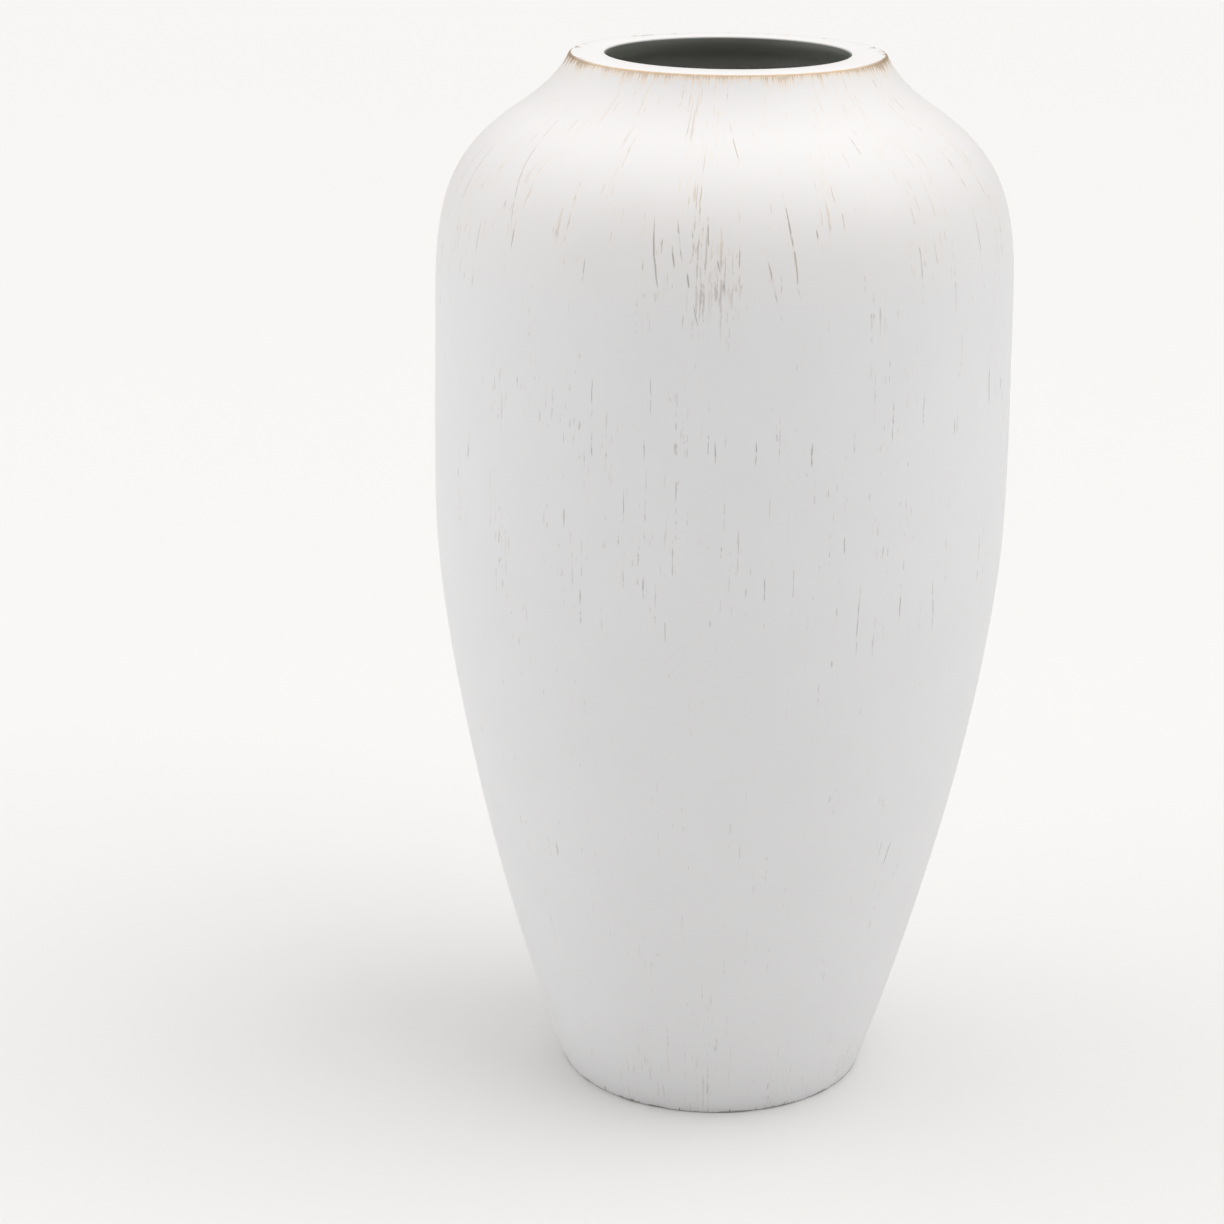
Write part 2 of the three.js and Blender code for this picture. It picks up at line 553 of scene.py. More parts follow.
@once
def brushed_wear():
    """Fine broken streaks along the pot, where a dry brush and a light rub left the ground bare."""
    tree, graph, given, out = new_group(
        "Brushed Wear",
        [("Around", VECTOR, None), ("Density", FLOAT, 0.5)],
        [("Bare", FLOAT), ("Thin", FLOAT)],
    )
    hairs = graph.brushed(given[0], HAIRS, 1.0)
    dashes = graph.brushed(given[0], DASHES, 2.0, 0.6)
    clumps = graph.brushed(given[0], CLUMPS, 3.0, 0.6)
    depths = graph.brushed(given[0], DEPTHS, 1.0)
    density = graph.times(given[1], graph.step(clumps, 0.40, 0.64))
    score = graph.times(graph.math("ADD", hairs, dashes), 0.5)
    score = graph.times_plus(density, 0.12, score)
    bare = graph.times(graph.step(score, 0.68, 0.72), graph.step(depths, 0.38, 0.66, 0.2, 0.75))
    join(graph, out, bare=bare, thin=graph.step(score, 0.62, 0.72))
    return tree


@once
def brush_stroke():
    """How far a point is from a scratch laid out by arc and height: 0 in the middle, 1 at its edge."""
    tree, graph, given, out = new_group(
        "Brush Stroke",
        [
            ("Arc", FLOAT, 0),
            ("Height", FLOAT, 0),
            ("Middle arc", FLOAT, 0),
            ("Middle height", FLOAT, 0),
            ("Half length", FLOAT, 10 * MM),
            ("Half width", FLOAT, 0.3 * MM),
            ("Lean", FLOAT, 0),
        ],
        [("Far", FLOAT)],
    )
    rise = graph.minus(given["Height"], given["Middle height"])
    across = graph.minus(given["Arc"], given["Middle arc"])
    across = graph.times_plus(rise, given["Lean"], across)
    across = graph.math("DIVIDE", across, given["Half width"])
    along = graph.math("DIVIDE", rise, given["Half length"])
    join(graph, out, far=graph.times_plus(across, across, graph.times(along, along)))
    return tree


@once
def arris_wear():
    """Paint rubbed off an edge: a band with ragged teeth that run on along the brush marks."""
    tree, graph, given, out = new_group(
        "Arris Wear",
        [
            ("Around", VECTOR, None),
            ("Distance", FLOAT, 0),
            ("Width", FLOAT, 1 * MM),
            ("Swell", FLOAT, 3),
        ],
        [("Bare", FLOAT), ("Thin", FLOAT)],
    )
    teeth = graph.minus(graph.brushed(given["Around"], TEETH, 2.0, 0.6), 0.5)
    swells = graph.minus(graph.brushed(given["Around"], SWELLS, 3.0, 0.6), 0.5)
    uneven = graph.times_plus(swells, given["Swell"], graph.times_plus(teeth, 6.0, 1.0))
    edge = graph.largest(graph.times(given["Width"], uneven), 0.01 * MM)
    ratio = graph.math("DIVIDE", given["Distance"], edge)
    bare = graph.step(ratio, 0.8, 1.15, 1.0, 0.0)
    join(graph, out, bare=bare, thin=graph.step(ratio, 0.8, 2.6, 1.0, 0.0))
    return tree


@once
def grain():
    """Small even grain for clay and paint, and a coarser mottle."""
    tree, graph, given, out = new_group(
        "Grain",
        [("Position", VECTOR, None), ("Scale", FLOAT, 900)],
        [("Fine", FLOAT), ("Mottle", FLOAT)],
    )
    fine = graph.noise(given[0], given[1], 4.0, 0.6)
    mottle = graph.noise(given[0], 38, 4.0, 0.55)
    join(graph, out, fine=fine, mottle=mottle)
    return tree


@once
def brush_ridges():
    """Height of the shallow ridges that the brush leaves along the pot."""
    tree, graph, given, out = new_group(
        "Brush Ridges", [("Around", VECTOR, None)], [("Height", FLOAT)]
    )
    ridges = graph.brushed(given[0], RIDGES, 3.0, 0.6)
    drags = graph.brushed(given[0], DRAGS)
    join(graph, out, height=graph.times_plus(drags, 0.8, ridges))
    return tree


def new_material(name):
    """A material with an empty Principled surface: its graph, the shader and Object coordinates."""
    material = bpy.data.materials.new(name)
    material.use_nodes = True
    graph = Graph(material.node_tree)
    shader = material.node_tree.nodes["Principled BSDF"]
    position = graph.node("ShaderNodeTexCoord").outputs["Object"]
    return material, graph, shader, position


def rgba(values, strength=1.0):
    return (*(min(1.0, strength * value) for value in values), 1.0)


def surface(graph, shader, tint, rough, relief, depth):
    """Gives the shader its colour, its roughness and a relief of the given depth."""
    made = graph.node("ShaderNodeBump", {"Height": relief, "Distance": depth})
    graph.tree.links.new(tint, shader.inputs["Base Color"])
    graph.tree.links.new(rough, shader.inputs["Roughness"])
    graph.tree.links.new(made.outputs[0], shader.inputs["Normal"])


# ---- Wear of the paint --------------------------------------------------------------------------

# The scratches that stand out, and at the end of the list the chips at the foot: azimuth in degrees
# to the right of the front, height and half length in millimetres, lean (how far it goes left as it
# rises) and width.
STROKES = [
    (2, 294, 5, 0.37, 0.9),
    (33.5, 292, 3, 0, 0.9),
    (60, 282, 5, 0, 0.9),
    (-73, 277, 14, 0, 0.6),
    (-67.5, 279, 12, 0.07, 0.7),
    (-49.5, 284, 19, 0.38, 0.65),
    (-55, 292, 6, 0.38, 0.5),
    (-50, 275, 1.5, 0, 0.9),
    (-45, 268, 4.5, 0, 0.9),
    (-56, 265, 5.5, 0, 0.6),
    (-27, 262, 4, 0, 0.6),
    (-13, 267, 11, 0.13, 1.3),
    (-9.5, 267, 3.5, 0.11, 1.1),
    (-8.5, 271, 6, 0.20, 1.2),
    (-6.5, 261, 2.5, 0.17, 1.3),
    (-6, 272, 2.5, 0.06, 1.1),
    (-3, 273, 4, 0.08, 1.0),
    (-1, 265, 2, 0.29, 1.2),
    (0, 260, 1.5, 0.10, 1.3),
    (3, 267, 3, 0, 1.0),
    (9, 261, 6.5, 0.24, 1.3),
    (13, 270, 15, 0.13, 1.3),
    (18, 272, 2.5, 0, 1.1),
    (59, 265, 11, 0, 0.7),
    (-5, 252, 3.5, 0.18, 0.6),
    (-13, 230, 6.5, 0, 0.6),
    (-24.5, 228, 7, 0, 0.5),
    (-24.5, 215, 4, 0, 1.0),
    (-14, 215, 4, 0, 0.9),
    (-1, 215, 4, 0, 0.7),
    (6.5, 215, 4, 0, 0.8),
    (17, 214, 4, 0, 1.4),
    (33.5, 221, 6.5, 0, 0.9),
    (41, 222, 6.5, 0, 0.6),
    (50, 216, 3, 0, 0.7),
    (63, 224, 10, 0.07, 0.9),
    (-18, 199, 6, 0, 0.5),
    (24, 188, 3, 0, 0.8),
    (8.5, 177, 4, 0, 1.0),
    (-14, 176, 4, 0, 0.9),
    (37, 169, 7.5, 0, 0.7),
    (27.5, 166, 13, 0, 0.6),
    (46, 166, 10.5, 0.12, 0.6),
    (-48, 170, 4, 0, 0.7),
    (45, 87, 5, -0.17, 0.9),
    (50.5, 80, 4, -0.12, 0.8),
    (-43, 1.0, 1.4, 0, 3),
    (-35, 0.8, 0.9, 0, 4),
    (-27, 0.8, 0.8, 0, 4),
    (-11, 0.7, 0.8, 0, 2),
    (8, 0.8, 0.9, 0, 2),
    (18, 0.9, 0.9, 0, 3),
    (30, 1.0, 0.9, 0, 4),
]
STROKE_WIDTH = 0.24 * MM  # half the width of a scratch of width 1
STROKE_WANDER = 1.2 * MM

# How much wear each height of the pot has, from the foot to the lip.
WEAR_BY_HEIGHT = [
    (0.00, 1.00),
    (0.08, 0.70),
    (0.18, 0.45),
    (0.30, 0.60),
    (0.38, 0.25),
    (0.48, 0.25),
    (0.54, 0.70),
    (0.61, 0.75),
    (0.64, 0.45),
    (0.67, 0.55),
    (0.71, 0.90),
    (0.77, 0.60),
    (0.83, 1.00),
    (0.91, 0.95),
    (1.00, 0.75),
]

# Where the finish changes: angles from the front, heights, distances from the lip, and a radius.
RIGHT_FLANK = (math.radians(25), math.radians(45))
MIDDLE_CLUSTER = (math.radians(10), math.radians(28))
SIDES = (math.radians(40), math.radians(80))
CLUSTER_BASE = (0.78 * HEIGHT, 0.84 * HEIGHT)
UPPER_PART = (0.79 * HEIGHT, 0.90 * HEIGHT)
UNDERSIDE = (3.2 * MM, 3.6 * MM)
OUTSIDE = (0.1 * MM, 0.5 * MM)
ROUNDED_EDGE = (0.02 * MM, 0.12 * MM)
CREAM_BAND = (0.9 * MM, 1.9 * MM)
GOLD_LINE_PLACE = 0.35 * MM
GOLD_LINE = (0.12 * MM, 0.45 * MM)
FOOT_RING = (FOOT_RADIUS - 0.6 * MM, FOOT_RADIUS - 0.2 * MM)

# How strongly each kind of wear shows.
STREAK_STRENGTH = 0.5
SCRATCH_STRENGTH = 0.65
GROUND_STRENGTH = 0.85
CREAM_STRENGTH = 0.38
FOOT_STRENGTH = 0.7


def wear_by_height(graph, height):
    ramp = graph.node("ShaderNodeValToRGB", {0: graph.math("DIVIDE", height, HEIGHT, clamp=True)})
    stops = ramp.color_ramp.elements
    while len(stops) < len(WEAR_BY_HEIGHT):
        stops.new(0.5)
    for stop, (place, amount) in zip(stops, WEAR_BY_HEIGHT):
        stop.position = place
        stop.color = rgba([amount] * 3)
    return ramp.outputs[0]


def spot_on_pot(graph, position):
    """The measures of a point on the pot that its finish depends on."""
    place = graph.group(turned_place(), position=position)
    below_top = graph.minus(HEIGHT, place["Height"])
    from_front = graph.math("ABSOLUTE", place["Azimuth"])
    return SimpleNamespace(
        around=place["Around"],
        azimuth=place["Azimuth"],
        height=place["Height"],
        radius=place["Radius"],
        below_top=below_top,
        from_front=from_front,
        outside=graph.step(below_top, *OUTSIDE),
        sides=graph.step(from_front, *SIDES),
        tooth=graph.group(grain(), position=position, scale=1400.0),
    )


def streak_density(graph, spot, wear):
    """How common the streaks are: most on the front of the shoulder, fewest on the right flank."""
    flank = graph.step(spot.azimuth, *RIGHT_FLANK, 1.0, 0.9)
    cluster = graph.times(
        graph.step(spot.from_front, *MIDDLE_CLUSTER, 0.4, 0.0),
        graph.step(spot.height, *CLUSTER_BASE),
    )
    share_here = graph.math("ADD", flank, cluster)
    return graph.times(wear_by_height(graph, spot.height), share_here, 2 * wear)


def scratches(graph, spot):
    """All the scratches that stand out, broken up by the hairs of the brush."""
    wander = graph.minus(graph.noise(spot.around, 110, 1.0), 0.5)
    arc = graph.times_plus(spot.azimuth, REFERENCE_RADIUS, graph.times(wander, STROKE_WANDER))
    nearest = 9.0
    for degrees, middle, half_length, lean, width in STROKES:
        stroke = graph.group(
            brush_stroke(),
            arc=arc,
            height=spot.height,
            middle_arc=math.radians(degrees) * REFERENCE_RADIUS,
            middle_height=middle * MM,
            half_length=half_length * MM,
            half_width=STROKE_WIDTH * width,
            lean=lean,
        )
        nearest = graph.math("MINIMUM", nearest, stroke["Far"])
    breaks = graph.brushed(spot.around, BREAKS, 2.0, 0.6)
    inside = graph.step(nearest, 0.2, 1.0, 1.0, 0.0)
    return graph.times(inside, graph.step(breaks, 0.38, 0.54, 0.1, 1.0))


def brushed_paint(graph, spot, finish, bare, thin):
    """White paint, warmer towards the lip, over the golden wash and the brown ground."""
    upper = graph.step(spot.height, *UPPER_PART)
    mottle = spot.tooth["Mottle"]
    white = graph.mix(
        graph.step(mottle, *MOST_NOISE), rgba(finish.paint, 0.985), rgba(finish.paint)
    )
    white = graph.mix(graph.times(upper, 0.07), white, rgba(finish.gold))
    gilt = graph.times(thin, graph.times_plus(upper, 0.15, 0.05))
    tint = graph.mix(gilt, white, rgba(finish.gold))
    golden = graph.times(upper, graph.step(mottle, 0.48, 0.60, 0.0, 0.65))
    ground = graph.mix(golden, rgba(finish.ground), rgba(finish.gold, 0.6))
    return graph.mix(graph.times(bare, GROUND_STRENGTH), tint, ground)


def worn_lip(graph, spot, finish, tint):
    """Adds a cream band, a rubbed arris and a golden line; towards the sides the arris and the line
    are browner, painted shade over the real wear.

    It gives the new colour, and how far the paint is rubbed off.
    """
    # Painted shade over real wear: towards the sides, away from the front, the rubbed band is wider
    # and stronger, and the arris and the golden line turn a darker brown.
    from_lip = graph.largest(spot.below_top, graph.minus(RIM_RADIUS, spot.radius))
    nearer = graph.times(from_lip, graph.times_plus(spot.sides, -0.35, 1.0))
    rounded = graph.times(spot.sides, graph.step(spot.below_top, *ROUNDED_EDGE))
    on_edge = graph.largest(spot.outside, rounded)
    lip = graph.group(
        arris_wear(), around=spot.around, distance=nearer, width=finish.arris_wear, swell=4.0
    )
    band = graph.largest(lip["Thin"], graph.step(from_lip, *CREAM_BAND, 1.0, 0.0))
    cream = graph.times(band, spot.outside, CREAM_STRENGTH)
    tint = graph.mix(cream, tint, rgba(finish.gold))

    rubbed = graph.times(lip["Bare"], on_edge, graph.times_plus(spot.sides, 0.4, 0.4))
    # A darker copy of the rust: painted shade for the sides of the lip.
    rust_painted_shade = rgba(finish.rust, 0.75)
    tint = graph.mix(rubbed, tint, graph.mix(spot.sides, rgba(finish.rust), rust_painted_shade))

    off_line = graph.math("ABSOLUTE", graph.minus(from_lip, GOLD_LINE_PLACE))
    line = graph.times(
        graph.step(off_line, *GOLD_LINE, 0.95, 0.0),
        graph.step(graph.noise(spot.around, 400), 0.30, 0.50, 0.5, 1.0),
        on_edge,
    )
    tint = graph.mix(line, tint, graph.mix(spot.sides, rgba(finish.gold, 0.8), rust_painted_shade))
    return tint, rubbed


def worn_foot(graph, spot, finish, tint):
    """Adds a worn arris and the bare clay underneath.

    It gives the new colour, and where the clay is bare.
    """
    from_foot = graph.largest(
        graph.minus(spot.height, FOOT_Z), graph.minus(FOOT_RADIUS, spot.radius)
    )
    foot = graph.group(
        arris_wear(), around=spot.around, distance=from_foot, width=finish.foot_wear, swell=9.0
    )
    worn = graph.times(foot["Bare"], FOOT_STRENGTH)
    tint = graph.mix(worn, tint, rgba(finish.ground, 1.6))
    ragged = graph.times_plus(graph.noise(spot.around, 150, 3.0), 2.5 * MM, spot.radius)
    under = graph.times(
        graph.step(spot.height, *UNDERSIDE, 1.0, 0.0), graph.step(ragged, *FOOT_RING, 1.0, 0.0)
    )
    speckle = graph.step(spot.tooth["Fine"], 0.35, 0.7)
    clay = graph.mix(speckle, rgba(finish.clay), rgba(finish.clay, 0.75))
    return graph.mix(under, tint, clay), under


# ---- Materials ----------------------------------------------------------------------------------


@once
def whitewashed_ceramic():
    """White paint brushed over a golden wash and a brown ground, worn through in streaks."""
    finish = bpy.context.scene.vase_finish
    material, graph, shader, position = new_material("whitewashed_ceramic")
    spot = spot_on_pot(graph, position)
    density = streak_density(graph, spot, finish.wear)
    streaks = graph.group(brushed_wear(), around=spot.around, density=density)
    marks = scratches(graph, spot)
    fine = graph.times(streaks["Bare"], STREAK_STRENGTH)
    bare = graph.times(graph.largest(fine, graph.times(marks, SCRATCH_STRENGTH)), spot.outside)
    thin = graph.times(graph.largest(streaks["Thin"], marks), spot.outside)

    tint = brushed_paint(graph, spot, finish, bare, thin)
    tint, rubbed = worn_lip(graph, spot, finish, tint)
    tint, under = worn_foot(graph, spot, finish, tint)
    worn = graph.largest(bare, rubbed, under)
    tooth = spot.tooth["Fine"]
    rough = graph.times_plus(worn, 0.2, graph.step(tooth, *MOST_NOISE, 0.50, 0.58))
    ridges = graph.group(brush_ridges(), around=spot.around)
    relief = graph.times_plus(tooth, 0.45, ridges["Height"])
    surface(graph, shader, tint, rough, relief, 0.033 * MM)
    return material


@once
def clay_slip():
    """Ochre slip, fired without glaze."""
    finish = bpy.context.scene.vase_finish
    material, graph, shader, position = new_material("clay_slip")
    tooth = graph.group(grain(), position=position, scale=1100.0)
    shade = graph.step(tooth["Fine"], *MOST_NOISE)
    tint = graph.mix(shade, rgba(finish.clay), rgba(finish.clay, 0.7))
    rough = graph.step(tooth["Mottle"], *MOST_NOISE, 0.8, 0.95)
    surface(graph, shader, tint, rough, tooth["Fine"], 0.15 * MM)
    return material


@once
def dark_glaze():
    """Grey-green glaze, dark near the mouth and painted paler deeper down: painted light that lifts
    the shade inside the pot.
    """
    finish = bpy.context.scene.vase_finish
    material, graph, shader, position = new_material("dark_glaze")
    place = graph.group(turned_place(), position=position)
    tooth = graph.group(grain(), position=position, scale=700.0)
    level = graph.times_plus(tooth["Mottle"], THROWING_WANDER, place["Height"])
    rings = graph.math("SINE", graph.times(level, math.tau / THROWING_PITCH))
    pooled = graph.step(graph.times_plus(rings, 0.12, tooth["Mottle"]), 0.25, 0.8)
    near = graph.mix(pooled, rgba(finish.glaze, 1.3), rgba(finish.glaze, 1.1))
    far = graph.mix(pooled, rgba(finish.deep_glaze_painted_light), rgba(finish.deep_glaze_painted_light, 0.92))
    # Painted light: deeper inside, where the pot is in shade, the glaze turns to the much paler
    # colour.
    deep = graph.step(place["Height"], *GLAZE_PAINTED_LIGHT_HEIGHTS, 1.0, 0.0)
    tint = graph.mix(deep, near, far)
    rough = graph.step(tooth["Fine"], *MOST_NOISE, 0.30, 0.42)
    relief = graph.times_plus(rings, 0.5, graph.times(tooth["Mottle"], 0.8))
    surface(graph, shader, tint, rough, relief, 0.25 * MM)
    return material


@once
def pressed_felt():
    """Pressed wool felt: tangled fibres in two tones."""
    finish = bpy.context.scene.vase_finish
    material, graph, shader, position = new_material("pressed_felt")
    bent = graph.noise(position, 300)
    tangle = graph.noise(position, 1900.0, 3.0, 0.7, Distortion=2.5)
    fibres = graph.times_plus(bent, 0.5, tangle)
    shade = graph.step(fibres, 0.55, 0.95)
    tint = graph.mix(shade, rgba(finish.felt, 0.7), rgba(finish.felt, 1.35))
    rough = graph.step(fibres, 0.5, 1.0, 0.88, 1.0)
    shader.inputs["Sheen Weight"].default_value = 0.4
    surface(graph, shader, tint, rough, fibres, 0.3 * MM)
    return material


# ---- Pieces -------------------------------------------------------------------------------------


def make_lower_section(shape):
    """Foot ring, floor and taper, ending in the joint's raised tongue."""
    profile = [
        at(0, RECESS_TOP),
        at(RECESS_RADIUS - 4 * MM, RECESS_TOP),
        at(RECESS_RADIUS, RECESS_TOP),
        at(RECESS_RADIUS, FOOT_Z),
        *taper_line(44),
        at(TONGUE_OUTER, JOINT_Z),
        at(TONGUE_OUTER, TONGUE_TOP),
        at(TONGUE_INNER, TONGUE_TOP),
        *reversed(lower_cavity(shape.wall, FLOOR_TOP)),
    ]
    bm = turn(profile, TURN_STEPS, closed=False)
    soften(bm, shape.soft_edge, 3, [at(RECESS_RADIUS, RECESS_TOP), at(RECESS_RADIUS, FOOT_Z)])
    soften(bm, shape.foot_edge, 4, [at(FOOT_RADIUS, FOOT_Z)])
    foot_chips = FOOT_CHIP_SHARE * shape.chip_depth
    chip(bm, at(FOOT_RADIUS, FOOT_Z), at(-1, 1), FOOT_CHIP_REACH, foot_chips)
    sway(bm, shape.sway)
    finish_piece(bm, "lower_section", whitewashed_ceramic(), "whitewashed_ceramic", "lower_body")


def make_upper_section(shape):
    """Belly, shoulder, neck and flat lip, rebated to sit over the lower section's tongue."""
    rebate = TONGUE_OUTER + SLIP_THICKNESS + 2 * SLIP_GAP
    rebate_top = TONGUE_TOP + SLIP_THICKNESS + 2 * SLIP_GAP
    profile = [
        *belly_line(18),
        *shoulder_line(30)[1:],
        *neck_line(30)[1:],
        at(BORE_RADIUS, HEIGHT),
        *reversed([p for p in upper_cavity(shape.wall, BORE_RADIUS) if p.z > rebate_top]),
        at(TONGUE_INNER, rebate_top),
        at(rebate, rebate_top),
        at(rebate, REBATE_BASE),
        at(JOINT_RADIUS - CLOSING_LIP, REBATE_BASE),
        at(JOINT_RADIUS - CLOSING_LIP, JOINT_Z),
    ]
    bm = turn(profile, TURN_STEPS, closed=True)
    soften(bm, shape.arris, 4, [at(RIM_RADIUS, HEIGHT)])
    soften(bm, shape.soft_edge, 3, [at(BORE_RADIUS, HEIGHT)])
    chip(bm, at(RIM_RADIUS, HEIGHT), at(-1, -1), LIP_CHIP_REACH, shape.chip_depth)
    sway(bm, shape.sway)
    finish_piece(bm, "upper_section", whitewashed_ceramic(), "whitewashed_ceramic", "upper_body")


def make_joint_slip(shape):
    """The stepped ring of slip that fills the joint."""
    low = JOINT_Z + SLIP_GAP
    over = low + TONGUE_HEIGHT
    inner = TONGUE_OUTER + SLIP_GAP
    outer = JOINT_RADIUS - CLOSING_LIP - SKIN_GAP
    profile = [
        at(inner, low),
        at(outer, low),
        at(outer, low + SLIP_THICKNESS),
        at(inner + SLIP_THICKNESS, low + SLIP_THICKNESS),
        at(inner + SLIP_THICKNESS, over + SLIP_THICKNESS),
        at(TONGUE_INNER + SLIP_GAP, over + SLIP_THICKNESS),
        at(TONGUE_INNER + SLIP_GAP, over),
        at(inner, over),
    ]
    bm = turn(profile, GLAZE_STEPS, closed=True)
    sway(bm, shape.sway)
    finish_piece(bm, "slip_ring", clay_slip(), "clay_slip", "joint_slip")


def make_glaze_lining(shape):
    """The dark glaze inside, in two parts that meet at the joint."""
    back = shape.wall + SKIN_GAP
    face = back + shape.glaze
    floor = FLOOR_TOP + SKIN_GAP
    bore = BORE_RADIUS - SKIN_GAP
    lower = [
        *lower_cavity(back, floor),
        *reversed(lower_cavity(face, floor + shape.glaze)),
    ]
    bm = turn(lower, GLAZE_STEPS, closed=False)
    sway(bm, shape.sway)
    finish_piece(bm, "glaze_lower", dark_glaze(), "dark_glaze", "glaze_lining")

    top = HEIGHT - shape.soft_edge
    upper = [
        *upper_cavity(back, bore),
        at(bore, top),
        at(bore - shape.glaze, top),
        *reversed(upper_cavity(face, bore - shape.glaze)),
    ]
    bm = turn(upper, GLAZE_STEPS, closed=True)
    soften(bm, 0.2 * MM, 2, [at(bore - shape.glaze, top)])
    sway(bm, shape.sway)
    finish_piece(bm, "glaze_upper", dark_glaze(), "dark_glaze", "glaze_lining")


def make_foot_pads(shape):
    """Round felt pads in the recess under the foot."""
    for node in PAD_NODES:
        low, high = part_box(node)
        centre = (low + high) / 2
        radius = (high.x - low.x) / 2
        bm = bmesh.new()
        bmesh.ops.create_cone(
            bm,
            cap_ends=True,
            segments=PAD_STEPS,
            radius1=radius,
            radius2=radius,
            depth=RECESS_TOP - low.z,
            matrix=Matrix.Translation((centre.x, centre.y, (low.z + RECESS_TOP) / 2)),
        )
        caps = [face for face in bm.faces if len(face.verts) > 4]
        bmesh.ops.inset_region(bm, faces=caps, thickness=1.5 * MM)
        rims = [edge for edge in bm.edges if edge.calc_face_angle(0) > SHARP_ANGLE]
        bmesh.ops.bevel(
            bm,
            geom=rims,
            offset=shape.pad_edge,
            segments=3,
            profile=0.5,
            affect="EDGES",
            material=-1,
        )
        finish_piece(bm, f"felt_{node[5:]}", pressed_felt(), "felt", node)


# ---- Studio -------------------------------------------------------------------------------------


def make_floor(studio):
    """A flat pale floor with a faint mottle."""
    bm = bmesh.new()
    bmesh.ops.create_circle(
        bm, cap_ends=True, radius=studio.floor_radius, segments=studio.floor_sides
    )
    mesh = bpy.data.meshes.new("studio_floor")
    bm.to_mesh(mesh)
    bm.free()
    floor = bpy.data.objects.new("studio_floor", mesh)
    bpy.context.scene.collection.objects.link(floor)
    material, graph, shader, position = new_material("pale_floor")
    warm = [studio.floor_tone * part for part in FLOOR_TINT]
    mottle = graph.noise(position, 1.5)
    pale = graph.mix(mottle, rgba(warm, 0.99), rgba(warm))
    graph.tree.links.new(pale, shader.inputs["Base Color"])
    shader.inputs["Roughness"].default_value = 0.9
    shader.inputs["Specular IOR Level"].default_value = 0.1
    mesh.materials.append(material)


def make_light(studio):
    """Even light from above, a window at each side and a broad soft key from the upper right."""
    scene = bpy.context.scene
    world = bpy.data.worlds.new("studio_world")
    scene.world = world
    world.use_nodes = True
    graph = Graph(world.node_tree)
    background = world.node_tree.nodes["Background"]
    direction = graph.node("ShaderNodeTexCoord").outputs["Generated"]
    x, y, z = graph.node("ShaderNodeSeparateXYZ", {0: direction}).outputs
    glow = graph.times(graph.step(z, *OVERHEAD_RISE), studio.overhead)
    glow = graph.times(glow, graph.step(y, *FRONT_FADE, 1.0, studio.front_share))
    glow = graph.times_plus(graph.step(x, *LEFT_EDGE), studio.left_window, glow)
    glow = graph.times_plus(graph.step(x, *RIGHT_EDGE), studio.right_window, glow)
    seen = graph.node("ShaderNodeLightPath").outputs["Is Camera Ray"]
    strength = graph.node("ShaderNodeMix", {0: seen, 2: glow, 3: studio.backdrop}).outputs[0]
    graph.tree.links.new(strength, background.inputs["Strength"])
    background.inputs["Color"].default_value = (1, 1, 1, 1)

    key = bpy.data.lights.new("key_light", "SUN")
    key.energy = studio.key_energy
    key.angle = KEY_SPREAD
    lamp = bpy.data.objects.new("key_light", key)
    lamp.rotation_euler = KEY_FROM.to_track_quat("Z", "Y").to_euler()
    scene.collection.objects.link(lamp)
    scene.view_settings.view_transform = "Standard"


def make_camera(studio):
    """A camera in front of the pot, turned, tilted and rolled into place."""
    camera = bpy.data.cameras.new("camera")
    camera.lens = studio.lens
    camera.clip_end = 100
    eye = bpy.data.objects.new("camera", camera)
    eye.matrix_world = (
        Matrix.Translation((0, -studio.distance, studio.camera_height))
        @ Matrix.Rotation(studio.yaw, 4, "Z")
        @ Matrix.Rotation(math.pi / 2 - studio.pitch, 4, "X")
        @ Matrix.Rotation(studio.roll, 4, "Z")
    )
    bpy.context.scene.collection.objects.link(eye)
    bpy.context.scene.camera = eye


# ---- Operators ----------------------------------------------------------------------------------


class VASE_OT_lower_section(bpy.types.Operator):
    """Make the lower clay section, with the foot"""

    bl_idname = "vase.lower_section"
    bl_label = "Lower Section"

    def execute(self, context):
        make_lower_section(context.scene.vase_shape)
        return {"FINISHED"}


class VASE_OT_upper_section(bpy.types.Operator):
    """Make the upper clay section, with the shoulder and the lip"""

    bl_idname = "vase.upper_section"
    bl_label = "Upper Section"

    def execute(self, context):
        make_upper_section(context.scene.vase_shape)
        return {"FINISHED"}


class VASE_OT_joint_slip(bpy.types.Operator):
    """Make the ring of slip in the joint"""

    bl_idname = "vase.joint_slip"
    bl_label = "Joint Slip"

    def execute(self, context):
        make_joint_slip(context.scene.vase_shape)
        return {"FINISHED"}


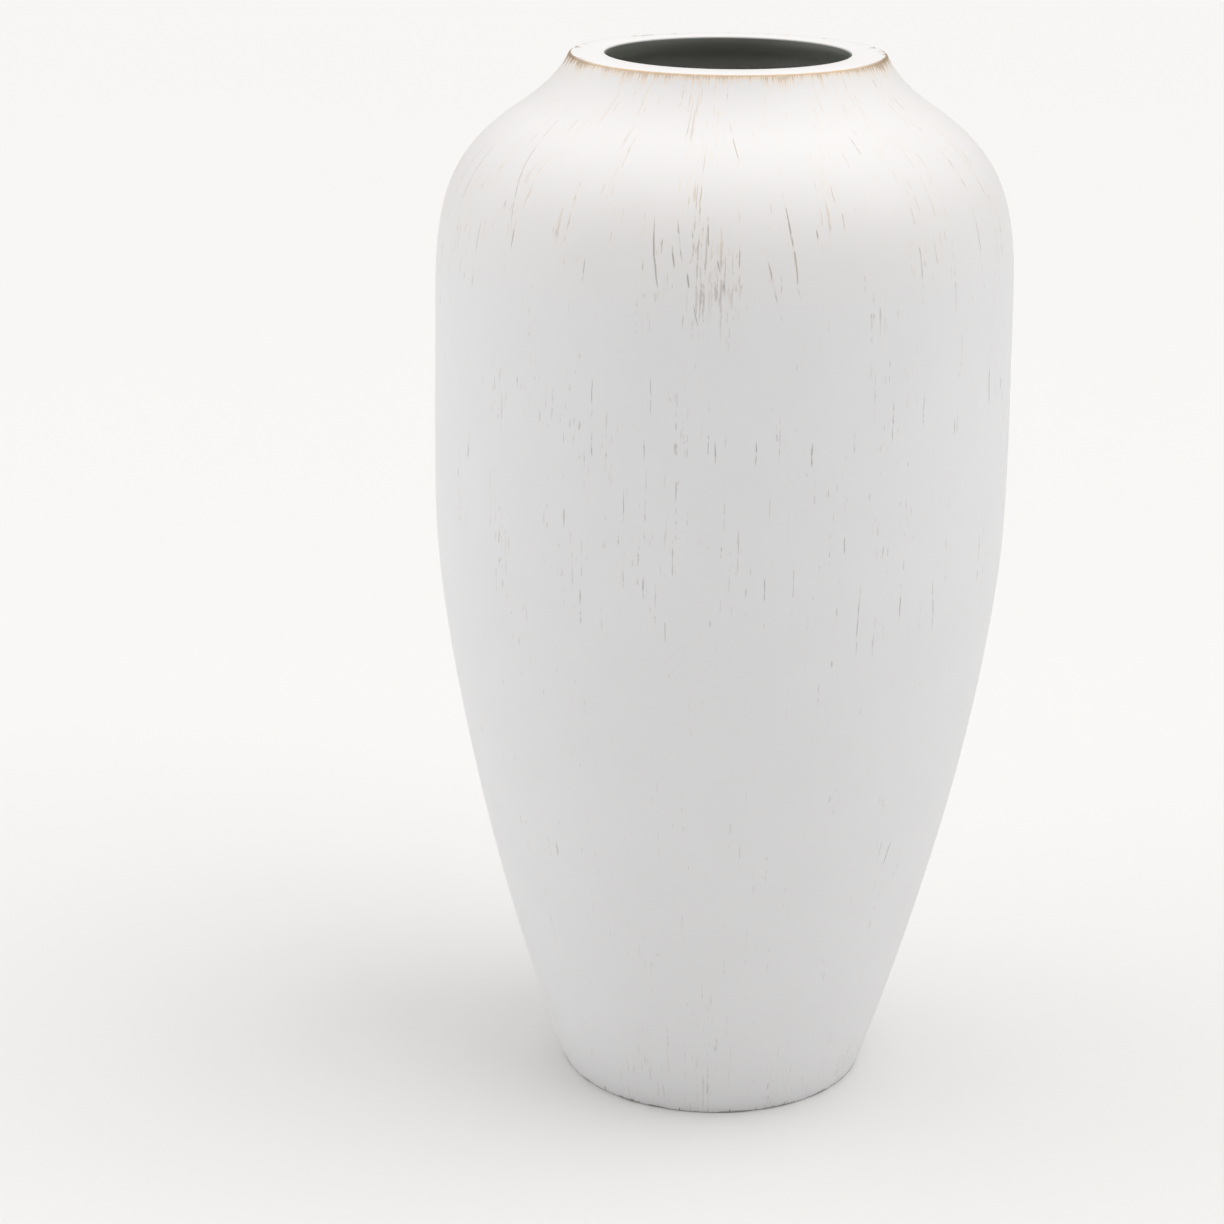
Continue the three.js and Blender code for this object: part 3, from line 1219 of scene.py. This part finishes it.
class VASE_OT_glaze_lining(bpy.types.Operator):
    """Make the dark glaze inside"""

    bl_idname = "vase.glaze_lining"
    bl_label = "Glaze Lining"

    def execute(self, context):
        make_glaze_lining(context.scene.vase_shape)
        return {"FINISHED"}


class VASE_OT_foot_pads(bpy.types.Operator):
    """Make the felt pads under the foot"""

    bl_idname = "vase.foot_pads"
    bl_label = "Foot Pads"

    def execute(self, context):
        make_foot_pads(context.scene.vase_shape)
        return {"FINISHED"}


class VASE_OT_studio(bpy.types.Operator):
    """Make the floor, the light and the camera"""

    bl_idname = "vase.studio"
    bl_label = "Studio"

    def execute(self, context):
        studio = context.scene.vase_studio
        make_floor(studio)
        make_light(studio)
        make_camera(studio)
        return {"FINISHED"}


SETTINGS = {"vase_shape": VaseShape, "vase_finish": VaseFinish, "vase_studio": VaseStudio}
OPERATORS = [
    VASE_OT_studio,
    VASE_OT_lower_section,
    VASE_OT_upper_section,
    VASE_OT_joint_slip,
    VASE_OT_glaze_lining,
    VASE_OT_foot_pads,
]


class VASE_PT_pieces(bpy.types.Panel):
    """The pieces of the vase, in the order in which they are made"""

    bl_label = "Vase"
    bl_idname = "VASE_PT_pieces"
    bl_space_type = "VIEW_3D"
    bl_region_type = "UI"
    bl_category = "Vase"

    def draw(self, context):
        for operator in OPERATORS:
            self.layout.operator(operator.bl_idname)
        for name, group in SETTINGS.items():
            box = self.layout.box()
            for setting in group.__annotations__:
                box.prop(getattr(context.scene, name), setting)


def register():
    for cls in [*SETTINGS.values(), *OPERATORS, VASE_PT_pieces]:
        bpy.utils.register_class(cls)
    for name, group in SETTINGS.items():
        setattr(bpy.types.Scene, name, PointerProperty(type=group))


def unregister():
    for name in SETTINGS:
        delattr(bpy.types.Scene, name)
    for cls in [VASE_PT_pieces, *reversed(OPERATORS), *reversed(SETTINGS.values())]:
        bpy.utils.unregister_class(cls)


def main():
    register()
    for operator in OPERATORS:
        group, name = operator.bl_idname.split(".")
        getattr(getattr(bpy.ops, group), name)()


if __name__ == "__main__":
    main()
